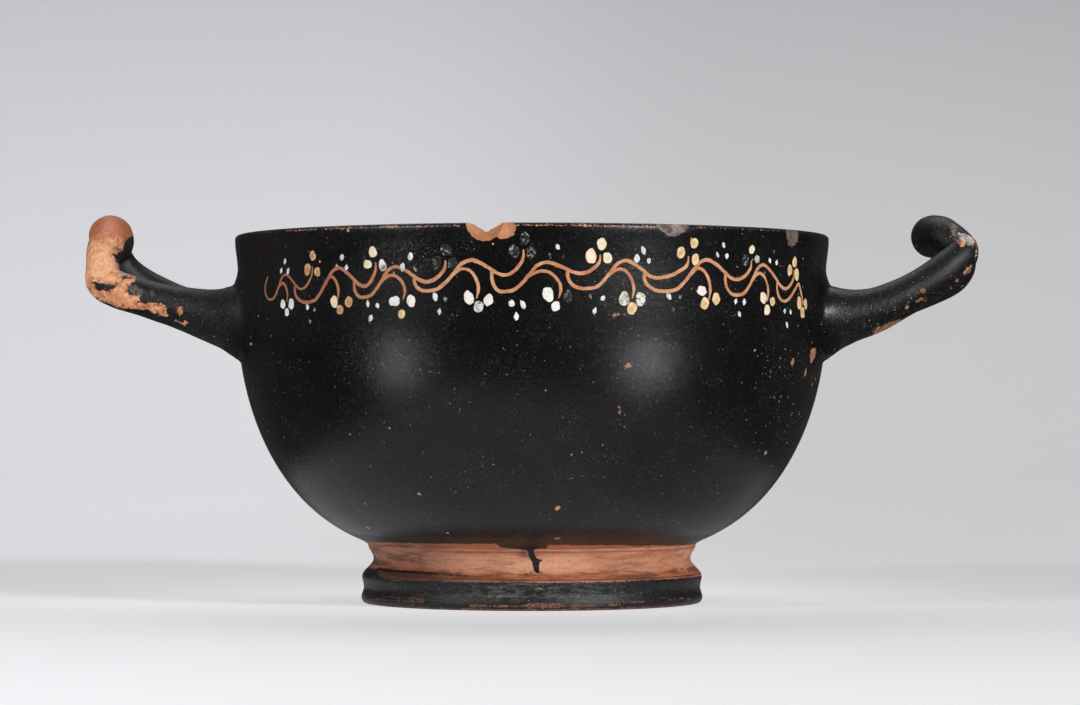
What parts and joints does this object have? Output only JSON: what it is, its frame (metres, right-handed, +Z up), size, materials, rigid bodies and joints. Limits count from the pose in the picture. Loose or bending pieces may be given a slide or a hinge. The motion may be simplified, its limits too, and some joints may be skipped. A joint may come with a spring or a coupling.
{
  "type": "cup-skyphos",
  "caption": "Black-gloss clay drinking cup: deep hollow bowl, moulded ring foot, recurved horseshoe handles, painted berry garland, chipped rim.",
  "frame": {"origin": "centre of the base, on the surface that the foot rests on", "axes": "+Z up along the cup's turning axis, +X along the handles, towards the handle that curls further inward; the chipped side of the rim faces -Y"},
  "size_m": [0.2113, 0.1404, 0.0915],
  "materials": {
    "black_gloss": "satin black gloss over orange fired clay, worn"
  },
  "bodies": {
    "root": {"cup_skyphos": "black_gloss"}
  },
  "joints": []
}
